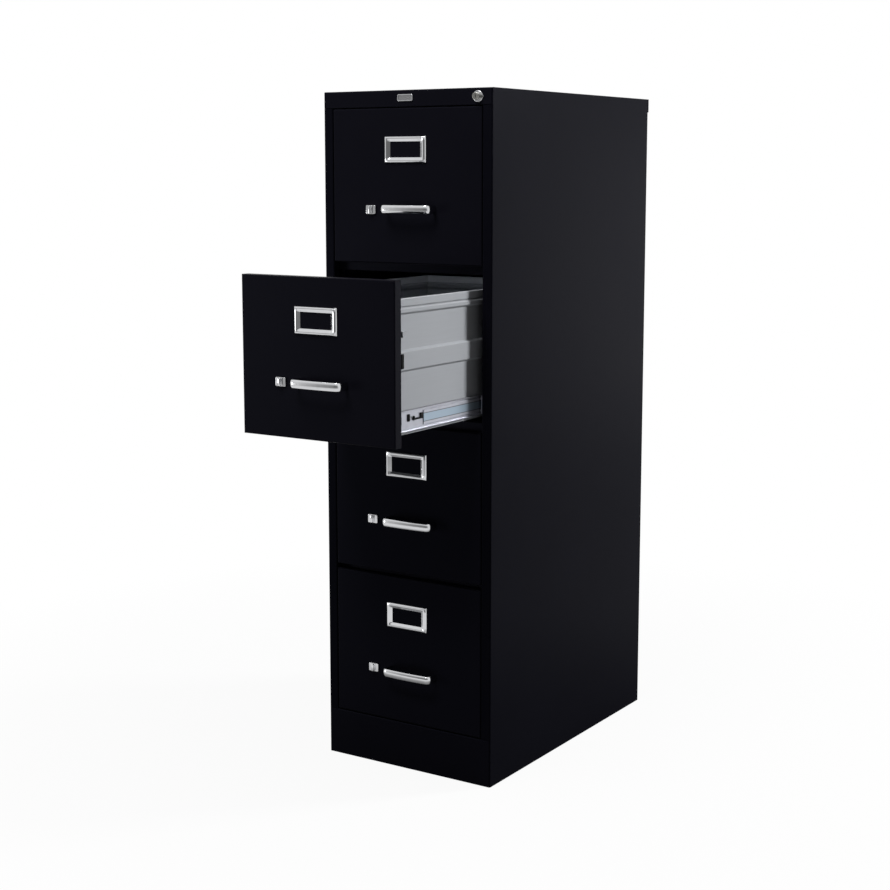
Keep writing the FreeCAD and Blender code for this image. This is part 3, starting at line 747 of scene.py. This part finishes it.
def near(value: float, target: float, slack: float = SAME) -> bool:
    """Whether two lengths are the same."""
    return abs(value - target) < slack


def edge_at(edge: bmesh.types.BMEdge, y: float) -> bool:
    """Whether an edge stands at a depth."""
    return all(near(end.co.y, y) for end in edge.verts)


def face_at(face: bmesh.types.BMFace, x: float) -> bool:
    """Whether a face stands across the cabinet's width at a place."""
    return near(face.calc_center_median().x, x, NEARLY) and abs(face.normal.x) > 0.9


# Pieces on a drawer


@dataclass
class DrawerPart:
    """What every piece on a drawer shares.

    Attributes:
        number: The drawer, counted from the top.
    """

    number: int

    @property
    def face(self) -> float:
        """Depth of the drawer's front face."""
        return drawer_face(self.number)

    @property
    def body(self) -> str:
        """The body that the piece moves with."""
        return f"drawer_{self.number}"

    def named(self, what: str) -> str:
        """Name of a piece or solid of this drawer."""
        return f"drawer_{self.number}_{what}"

    def below_top(self, drop: float) -> float:
        """Height of a point below the drawer's top edge."""
        return drawer_top(self.number) - drop

    def make(self) -> list[Piece]:
        """Make its pieces."""
        raise NotImplementedError


@dataclass
class StrapHandle(DrawerPart):
    """Chrome strap handle with a crowned bar.

    Attributes:
        middle: Its middle across.
        length: Its length.
        height: Its height.
        drop: From the drawer's top edge to its middle.
        reach: How far it stands off the front.
        leg: Thickness of a leg at its foot.
        bar: Thickness of the bar.
        bend: Outer radius of a bend.
        bend_steps: How many faces make a bend.
        crown: How much the bar's face bulges.
        strips: How many strips make the bulge.
        bow: How far the bar's middle stands out past its ends.
        bow_shares: The share of the bow in each pull from a bend to the middle.
        rounding: Rounding of its edges.
    """

    middle: float = 0.013
    length: float = 0.112
    height: float = 0.0155
    drop: float = 0.188
    reach: float = 0.030
    leg: float = 0.007
    bar: float = 0.004
    bend: float = 0.011
    bend_steps: int = 9
    crown: float = 0.0018
    strips: int = 6
    bow: float = 0.0018
    bow_shares: tuple[float, ...] = (0.4375, 0.3125, 0.1875, 0.0625)
    rounding: float = 0.0012

    def make(self) -> list[Piece]:
        """Draw half of it out of its foot, bend it round and mirror it.

        Returns:
            The handle.
        """
        z = self.below_top(self.drop)
        half = self.height / 2
        left = self.middle - self.length / 2
        outer = left + self.crown
        foot = self.leg - self.crown
        knee = self.face - self.reach + self.bow + self.bend
        turn = left + self.bend
        stride = (self.length / 2 - self.bend) / len(self.bow_shares)
        bench = Bench(self.named("pull"))
        bench.sheet(Facing.FRONT, (outer + foot / 2, self.face, z), foot, self.height)
        with bench.shaping():
            bench.pick(Kind.EDGES, lambda edge: near(edge.verts[0].co.x, edge.verts[1].co.x))
            bpy.ops.mesh.subdivide(number_cuts=self.strips - 1)
            for step in range(self.strips + 1):
                level = z - half + step * self.height / self.strips
                bench.pick(
                    Kind.VERTICES,
                    lambda vertex: near(vertex.co.x, outer) and near(vertex.co.z, level, NEARLY),
                )
                bench.shift(x=-self.crown * (1.0 - ((level - z) / half) ** 2))
            bench.pick_all(Kind.FACES)
            bench.pull(y=knee - self.face)
            bench.pick(
                Kind.VERTICES,
                lambda vertex: near(vertex.co.y, knee) and near(vertex.co.x, outer + foot),
            )
            bench.shift(x=self.bar - self.leg)
            bench.pick(Kind.FACES, lambda face: near(face.calc_center_median().y, knee))
            bpy.ops.mesh.spin(
                steps=self.bend_steps, angle=-math.pi / 2, center=(turn, knee, z), axis=(0, 0, 1)
            )
            bench.pick(Kind.FACES, lambda face: face_at(face, turn))
            for share in self.bow_shares:
                bench.pull(x=stride, y=-share * self.bow)
            bench.pick(Kind.FACES, lambda face: face_at(face, self.middle))
            bpy.ops.mesh.delete(type="FACE")
        bench.mirrored(self.middle).closed().eased(self.rounding).smoothed()
        return [bench.fitted(Look.CHROME, self.body, "chrome", self.named("handle"))]


@dataclass
class CardFrame(DrawerPart):
    """Chrome frame that holds a drawer's card, pressed from one rounded bead.

    Attributes:
        width: Its width.
        height: Its height.
        drop: From the drawer's top edge to its middle.
        window_width: Width of its window.
        window_height: Height of its window.
        bead: Heights of the bead off the drawer's front, from its outer edge to the window.
        blank: Depth of the flat strip that the bead is shaped from.
        support: Distance of the points that keep a mitre crisp.
        corner: Rounding of its outer corners.
    """

    width: float = 0.094
    height: float = 0.050
    drop: float = 0.077
    window_width: float = 0.0685
    window_height: float = 0.0298
    bead: tuple[float, ...] = (
        0.0012, 0.0029, 0.0039, 0.0044, 0.0045, 0.00435, 0.0039, 0.0032, 0.0024, 0.0016, 0.0010,
    )
    blank: float = 0.001
    support: float = 0.0008
    corner: float = 0.0012

    def make(self) -> list[Piece]:
        """Draw a quarter of the bead up, mitre it, draw it across and mirror it.

        The bead is drawn as wide as the upright sides, then pressed narrower along the top.

        Returns:
            The frame.
        """
        z = self.below_top(self.drop)
        left, top = -self.width / 2, z + self.height / 2
        side = (self.width - self.window_width) / 2
        press = (self.height - self.window_height) / 2 / side
        foot = top - self.height / 2 / press
        reach = side + self.support
        places = [left + step * side / (len(self.bead) - 1) for step in range(len(self.bead))]
        bench = Bench(self.named("card_frame"))
        middle = (left + side / 2, self.face - self.blank / 2, foot)
        bench.sheet(Facing.UP, middle, side, self.blank)
        with bench.shaping():
            bench.pick(Kind.EDGES, lambda edge: near(edge.verts[0].co.y, edge.verts[1].co.y))
            bpy.ops.mesh.subdivide(number_cuts=len(self.bead) - 2)
            for place, rise in zip(places, self.bead):
                bench.pick(
                    Kind.VERTICES,
                    lambda vertex: near(vertex.co.y, self.face - self.blank)
                    and near(vertex.co.x, place, NEARLY),
                )
                bench.shift(y=self.blank - rise)
            bench.pick_all(Kind.FACES)
            bench.pull(z=top - reach - foot)
            bench.pull(z=reach)
            for place in places[1:]:
                bench.pick(
                    Kind.VERTICES,
                    lambda vertex: near(vertex.co.x, place, NEARLY) and near(vertex.co.z, top),
                )
                bench.shift(z=left - place)
            bench.pick(
                Kind.FACES,
                lambda face: face.calc_center_median().z > top - side
                and all(near(end.co.x - left, top - end.co.z, NEARLY) for end in face.verts),
            )
            bench.pull(x=reach)
            for place in places[1:]:
                bench.pick(Kind.VERTICES, lambda vertex: near(vertex.co.x, place + reach, NEARLY))
                bench.shift(x=left - place)
            bench.pick(
                Kind.FACES, lambda face: all(near(end.co.x, left + reach) for end in face.verts)
            )
            bench.pull(x=-left - reach)
            bench.pick(
                Kind.FACES,
                lambda face: near(face.calc_center_median().x, 0.0)
                or near(face.calc_center_median().z, foot),
            )
            bpy.ops.mesh.delete(type="FACE")
            bench.pick_all(Kind.VERTICES)
            bpy.ops.transform.resize(
                value=(1.0, 1.0, press), center_override=(0.0, self.face, top)
            )
            bench.pick(
                Kind.EDGES,
                lambda edge: all(
                    near(end.co.x, left) and near(end.co.z, top) for end in edge.verts
                ),
            )
            bpy.ops.mesh.bevel(offset=self.corner, segments=3, affect="EDGES")
        bench.mirrored(0.0, z).closed().smoothed(50.0)
        return [bench.fitted(Look.CHROME, self.body, "chrome", self.named("label_holder"))]


@dataclass
class ThumbLatch(DrawerPart):
    """Chrome thumb latch: a rounded plate with an upright rib to push against.

    Attributes:
        middle: Its middle across.
        width: Its width.
        height: Its height.
        drop: From the drawer's top edge to its middle.
        gap: Between the drawer's front and the plate.
        thickness: Thickness of the plate.
        corner: Rounding of the plate's corners.
        margin: From the plate's outline to the rib's ends.
        margin_area: Faces on the plate that are smaller than this area are its margin.
        rib_half: Half of the rib's width.
        rib_rise: How far the rib stands off the plate.
        rounding: Rounding of its edges.
    """

    middle: float = -0.079
    width: float = 0.022
    height: float = 0.0165
    drop: float = 0.190
    gap: float = 0.0003
    thickness: float = 0.003
    corner: float = 0.002
    margin: float = 0.0012
    margin_area: float = 5e-5
    rib_half: float = 0.0026
    rib_rise: float = 0.0047
    rounding: float = 0.0007

    @property
    def body(self) -> str:
        """The latch's own body."""
        return f"latch_{self.number}"

    def _on_plate(self, face: bmesh.types.BMFace) -> bool:
        """Whether a face lies in the plate's front."""
        front = self.face - self.gap - self.thickness
        return near(face.calc_center_median().y, front, NEARLY)

    def make(self) -> list[Piece]:
        """Draw the plate out of its outline and the rib out of the plate.

        Returns:
            The latch.
        """
        foot, z = self.face - self.gap, self.below_top(self.drop)
        bench = Bench(self.named("thumb_catch"))
        bench.sheet(Facing.FRONT, (self.middle, foot, z), self.width, self.height)
        with bench.shaping():
            bench.round_corners(self.corner)
            bench.pick_all(Kind.FACES)
            bench.pull(y=-self.thickness)
            bench.pick(Kind.FACES, self._on_plate)
            bench.inset(self.margin)
            for side in (-1.0, 1.0):
                bench.pick(
                    Kind.FACES,
                    lambda face: self._on_plate(face) and face.calc_area() > self.margin_area,
                )
                bpy.ops.mesh.bisect(
                    plane_co=(self.middle + side * self.rib_half, foot, z),
                    plane_no=(1.0, 0.0, 0.0),
                    use_fill=False, clear_inner=False, clear_outer=False,
                )
            bench.pick(
                Kind.FACES,
                lambda face: self._on_plate(face) and face.calc_area() > self.margin_area
                and near(face.calc_center_median().x, self.middle, self.rib_half),
            )
            bench.pull(y=-self.rib_rise)
        bench.closed().eased(self.rounding, angle=50.0).smoothed()
        return [bench.fitted(Look.CHROME, self.body, "chrome", self.named("latch_button"))]


@dataclass
class SidePad(DrawerPart):
    """Black crowned pad on each side of a drawer, made once and mirrored.

    Attributes:
        name: What it is called.
        side: Where its foot lies across.
        setback: From the back of the drawer's front to its middle.
        drop: From the drawer's top edge to its middle.
        thickness: Its thickness.
        depth: Its size to the back.
        height: Its height.
        corner: Rounding of its outline.
        straight: The share of its thickness below its crown.
        crown: The crown's steps: how far each is set in, and its share of the thickness.
    """

    name: str
    side: float
    setback: float
    drop: float
    thickness: float
    depth: float
    height: float
    corner: float = 0.0016
    straight: float = 0.6
    crown: tuple[tuple[float, float], ...] = ((0.0006, 0.3), (0.0008, 0.1))

    def make(self) -> list[Piece]:
        """Draw the pad out of its outline and crown it.

        Returns:
            The pad and its mirror image as one piece.
        """
        y = self.face + PAN_DEPTH + self.setback
        crest = self.side + self.thickness * self.straight
        bench = Bench(self.named(self.name))
        middle = (self.side, y, self.below_top(self.drop))
        bench.sheet(Facing.SIDE, middle, self.depth, self.height)
        with bench.shaping():
            bench.round_corners(self.corner)
            bench.pick_all(Kind.FACES)
            bench.pull(x=crest - self.side)
            bench.pick(Kind.FACES, lambda face: near(face.calc_center_median().x, crest))
            for width, share in self.crown:
                bench.inset(width, self.thickness * share)
        bench.mirrored().closed().smoothed()
        return [bench.fitted(Look.MOULDED, self.body, "black_paint")]


@dataclass
class SlideHook(DrawerPart):
    """Black release hook in each slide's web: a flat bar with a tall end and a low one.

    Attributes:
        side: Where its foot lies across.
        setback: From the back of the drawer's front to its bar.
        drop: From the drawer's top edge to the bar's foot.
        bar: Length of its bar.
        height: Height of its bar.
        tall_end: Length of its tall end, behind the bar.
        tall_rise: How far that rises over the bar.
        low_end: Length of its low end, before the bar.
        low_rise: How far that rises over the bar.
        lean: How far each end leans towards the bar.
        thickness: Its thickness.
        rounding: Rounding of its edges.
    """

    side: float = 0.15825
    setback: float = 0.054
    drop: float = SLIDE_DROP + 0.001
    bar: float = 0.019
    height: float = 0.0032
    tall_end: float = 0.009
    tall_rise: float = 0.0073
    low_end: float = 0.005
    low_rise: float = 0.0035
    lean: float = 0.001
    thickness: float = 0.0022
    rounding: float = 0.0006

    def make(self) -> list[Piece]:
        """Draw the ends out of the bar's edges, give it its thickness and mirror it.

        Returns:
            The hook and its mirror image as one piece.
        """
        start, z = self.face + PAN_DEPTH + self.setback, self.below_top(self.drop)
        end, top = start + self.bar, z + self.height
        bench = Bench(self.named("slide_hook"))
        middle = (self.side, (start + end) / 2, (z + top) / 2)
        bench.sheet(Facing.SIDE, middle, self.bar, self.height)
        with bench.shaping():
            bench.pick(Kind.EDGES, lambda edge: edge_at(edge, end))
            bench.pull(y=self.tall_end)
            bench.pick(Kind.EDGES, lambda edge: edge_at(edge, start))
            bench.pull(y=-self.low_end)
            for first, last, rise, lean in (
                (end, end + self.tall_end, self.tall_rise, -self.lean),
                (start - self.low_end, start, self.low_rise, self.lean),
            ):
                bench.pick(
                    Kind.EDGES,
                    lambda edge: all(
                        near(point.co.z, top) and first - NEARLY < point.co.y < last + NEARLY
                        for point in edge.verts
                    ),
                )
                bench.pull(y=lean, z=rise)
            bench.pick_all(Kind.FACES)
            bench.pull(x=self.thickness)
        bench.mirrored().closed().eased(self.rounding, 2).smoothed()
        return [bench.fitted(Look.MOULDED, self.body, "black_paint")]


def drawer_parts(number: int) -> list[DrawerPart]:
    """What is made for one drawer, in order.

    Args:
        number: The drawer, counted from the top.

    Returns:
        Its handle, card frame and latch, and the black pieces on its sides.
    """
    detent = (0.15825, 0.0365, SLIDE_DROP - 0.0045, 0.002, 0.007, 0.013)
    bumper = (0.16105, 0.014, 0.142, 0.0018, 0.008, 0.026)
    return [
        StrapHandle(number),
        CardFrame(number),
        ThumbLatch(number),
        SidePad(number, "slide_detent", *detent),
        SidePad(number, "rib_bumper", *bumper),
        SlideHook(number),
    ]


# The whole cabinet and its studio


@dataclass
class Dressing:
    """Which finish each solid of the cabinet wears.

    Attributes:
        case_nodes: The sheets of the case that wear its plain enamel.
    """

    case_nodes: tuple[str, ...] = (
        "left_side_panel", "right_side_panel", "bottom_panel", "back_panel", "front_uprights",
        "rear_uprights", "top_cross_rail",
    )

    def looks(self) -> dict[str, Look]:
        """The finish of every node.

        Returns:
            Each node's name and finish.
        """
        looks = {name: Look.CASE for name in self.case_nodes}
        looks.update({
            "top_panel": Look.FRONT, "base_panel": Look.FRONT, "divider_rails": Look.RAIL,
            "case_slide_channels": Look.MIDDLE, "case_slide_rivets": Look.FASTENER,
            "badge_frame": Look.CHROME, "badge_field": Look.FIELD, "lock_bezel": Look.CHROME,
            "lock_bar_guides": Look.FASTENER, "lock_plunger": Look.NICKEL,
            "lock_core": Look.NICKEL, "lock_bar": Look.FASTENER,
        })
        for number in range(1, DRAWER_COUNT + 1):
            start = f"drawer_{number}_"
            looks.update({
                start + "front": Look.FRONT, start + "tray": Look.TRAY, start + "back": Look.TRAY,
                start + "handle": Look.CHROME, start + "label_holder": Look.CHROME,
                start + "latch_button": Look.CHROME, start + "latch_bolt": Look.FASTENER,
                start + "slide_channels": Look.SLIDE, start + "mid_slides": Look.MIDDLE,
                start + "fasteners": Look.FASTENER,
            })
        return looks

    def dress(self) -> None:
        """Give every solid its finish."""
        looks = self.looks()
        for name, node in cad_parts.items():
            node.data.materials.clear()
            node.data.materials.append(looks[name].material)
            log.info("dressed %s in %s", name, looks[name].name)


@dataclass
class Lamp:
    """One soft lamp: a glowing rectangle aimed at a point.

    Attributes:
        name: Its name.
        place: Where it stands.
        aim: What it points at.
        width: Its width.
        height: Its height.
        power: Its power in watts.
    """

    name: str
    place: Point
    aim: Point
    width: float
    height: float
    power: float

    def make(self) -> None:
        """Hang the lamp."""
        lamp = bpy.data.lights.new(self.name, "AREA")
        lamp.shape = "RECTANGLE"
        lamp.size = self.width
        lamp.size_y = self.height
        lamp.energy = self.power
        holder = bpy.data.objects.new(self.name, lamp)
        bpy.context.scene.collection.objects.link(holder)
        holder.location = self.place
        way = Vector(self.aim) - Vector(self.place)
        holder.rotation_euler = way.to_track_quat("-Z", "Y").to_euler()


@dataclass
class Studio:
    """Floor, light and camera.

    Attributes:
        floor_size: Side of the floor.
        floor_grey: How pale the floor is to the light that it throws back.
        floor_speckle: Its speckle.
        seen_pale: How far it is towards white where the camera sees it.
        shadow_reach: How far from the cabinet the floor still shows shadows.
        near_glow: The share of its white that glows beside the cabinet.
        mirror_rise: How fast its reflection brightens with the square of the distance.
        far_floor: Squares of the distances between which its reflection takes on the room's.
        ambient: The even light from all round.
        dim_way: Which way the room's dim open front lies.
        dim_fade: How squarely a ray runs that way where it starts to dim and is dimmest.
        dim_share: How much of its brightness that front loses in reflections.
        dim_rise: How steeply a ray rises or falls where it leaves that front.
        camera_place: Where the camera stands.
        camera_tilt: Its tilt from straight down, in degrees.
        camera_turn: Its turn to the left, in degrees.
        lens: Its focal length in millimetres.
        sensor: Its sensor's width in millimetres.
        shift: Its shift up or down.
        lamps: The lamps.
    """

    floor_size: float = 60.0
    floor_grey: float = 0.12
    floor_speckle: Grain = Grain(40.0, swing=0.04)
    seen_pale: float = 0.6
    shadow_reach: float = 1.6
    near_glow: float = 0.93
    mirror_rise: float = 0.9
    far_floor: tuple[float, float] = (2.0, 20.0)
    ambient: float = 0.024
    dim_way: tuple[float, float] = (0.087, -0.996)
    dim_fade: tuple[float, float] = (0.50, 0.93)
    dim_share: float = 0.80
    dim_rise: tuple[float, float] = (0.12, 0.5)
    camera_place: Point = (1.7624, -2.8952, 1.1724)
    camera_tilt: float = 81.727
    camera_turn: float = 33.003
    lens: float = 66.54
    sensor: float = 36.0
    shift: float = -0.04
    lamps: tuple[Lamp, ...] = (
        Lamp("key_lamp", (2.5, 2.4, 2.5), (0.1, -0.4, 0.85), 0.7, 1.6, 200.0),
        Lamp("back_lamp", (1.7, 3.9, 0.7), (0.1, 0.0, 0.7), 1.4, 1.3, 14.0),
        Lamp("top_lamp", (-0.2, -1.9, 3.3), (0.0, -0.4, 0.9), 1.2, 1.2, 68.0),
        Lamp("fill_lamp", (-3.4, -3.0, 0.5), (0.0, -0.3, 0.5), 1.0, 0.9, 20.0),
    )

    def make_floor(self) -> None:
        """Plain pale floor that keeps the cabinet's shadow.

        It glows white to the camera and in reflections, most where it is far from the cabinet.
        """
        bpy.ops.object.select_all(action="DESELECT")
        bpy.ops.mesh.primitive_plane_add(size=self.floor_size)
        floor = bpy.context.object
        floor.name = "floor"
        made = bpy.data.materials.new("pale_floor")
        made.use_nodes = True
        graph = Graph(made.node_tree)
        seen = self._direct(graph)
        speckle = graph.noise(self.floor_speckle)
        paleness = speckle.around(seen * self.seen_pale, self.floor_speckle.swing)
        colour = graph.blend(paleness, grey(self.floor_grey), grey(1.0))
        matt = graph.node(
            "ShaderNodeBsdfPrincipled", inputs={"Base Color": colour, "Roughness": 0.9}
        )
        glow = graph.node("ShaderNodeEmission", inputs={"Color": grey(1.0), "Strength": 1.0})
        x, y, _ = graph.axes()
        spread = x * x + y * y
        reach = spread * (1.0 / self.shadow_reach**2)
        direct = seen * (self.near_glow + reach * (1.0 - self.near_glow)).at_most(1.0)
        away = spread**0.5 + 0.001  # never 0, as it divides
        room = self._dimmed(x / away, y / away)
        mirrored = self._glossy(graph) * (spread * self.mirror_rise).at_most(1.0)
        mirrored = mirrored * (1.0 - spread.eased(*self.far_floor) * (1.0 - room))
        share = direct.at_least(mirrored)
        mixed = graph.node("ShaderNodeMixShader", inputs={0: share, 1: matt, 2: glow})
        graph.node("ShaderNodeOutputMaterial", inputs={"Surface": mixed})
        floor.data.materials.append(made)

    @staticmethod
    def _direct(graph: Graph) -> Field:
        """1 for rays that the camera sees directly or through glass."""
        camera = graph.node("ShaderNodeLightPath", output="Is Camera Ray")
        return camera.at_least(graph.node("ShaderNodeLightPath", output="Is Transmission Ray"))

    @staticmethod
    def _glossy(graph: Graph) -> Field:
        """1 for rays that are seen in a reflection."""
        return graph.node("ShaderNodeLightPath", output="Is Glossy Ray")

    def _dimmed(self, x: Field, y: Field) -> Field:
        """Brightness of the white room, which is much dimmer towards its open front.

        Args:
            x: The way across, as part of a unit vector.
            y: The way to the back, as part of a unit vector.

        Returns:
            1 in the lit room, less towards the front.
        """
        facing = x * self.dim_way[0] + y * self.dim_way[1]
        return 1.0 - facing.eased(*self.dim_fade) * self.dim_share

    def make_world(self) -> None:
        """Surroundings that are white to the eye, and light the cabinet at a low, even level."""
        world = bpy.data.worlds.new("studio")
        bpy.context.scene.world = world
        world.use_nodes = True
        graph = Graph(world.node_tree)
        x, y, z = graph.axes("Generated")
        room = self._dimmed(x, y)
        lit = room + (1.0 - room) * abs(z).eased(*self.dim_rise)
        mirrored = self._glossy(graph) * lit
        strength = self._direct(graph).at_least(mirrored).at_least(self.ambient)
        sky = graph.node("ShaderNodeBackground", inputs={"Color": grey(1.0), "Strength": strength})
        graph.node("ShaderNodeOutputWorld", inputs={"Surface": sky})

    def make_camera(self) -> None:
        """Camera at the photograph's viewing angle."""
        camera = bpy.data.cameras.new("camera")
        camera.lens = self.lens
        camera.sensor_width = self.sensor
        camera.sensor_fit = "AUTO"
        camera.shift_y = self.shift
        holder = bpy.data.objects.new("camera", camera)
        bpy.context.scene.collection.objects.link(holder)
        holder.location = self.camera_place
        holder.rotation_euler = (
            math.radians(self.camera_tilt), 0.0, math.radians(self.camera_turn)
        )
        bpy.context.scene.camera = holder

    def make(self) -> None:
        """Set up floor, light and camera."""
        self.make_floor()
        self.make_world()
        for lamp in self.lamps:
            lamp.make()
        self.make_camera()
        bpy.context.scene.view_settings.view_transform = "Standard"


def main() -> None:
    """Dress the frame, make each drawer's own pieces and set up the studio."""
    logging.basicConfig(level=logging.INFO, format="%(name)s: %(message)s")
    Dressing().dress()
    for number in range(1, DRAWER_COUNT + 1):
        for part in drawer_parts(number):
            for piece in part.make():
                log.info("%s has %d faces", piece.name, len(piece.data.polygons))
    Studio().make()


if __name__ == "__main__":
    main()
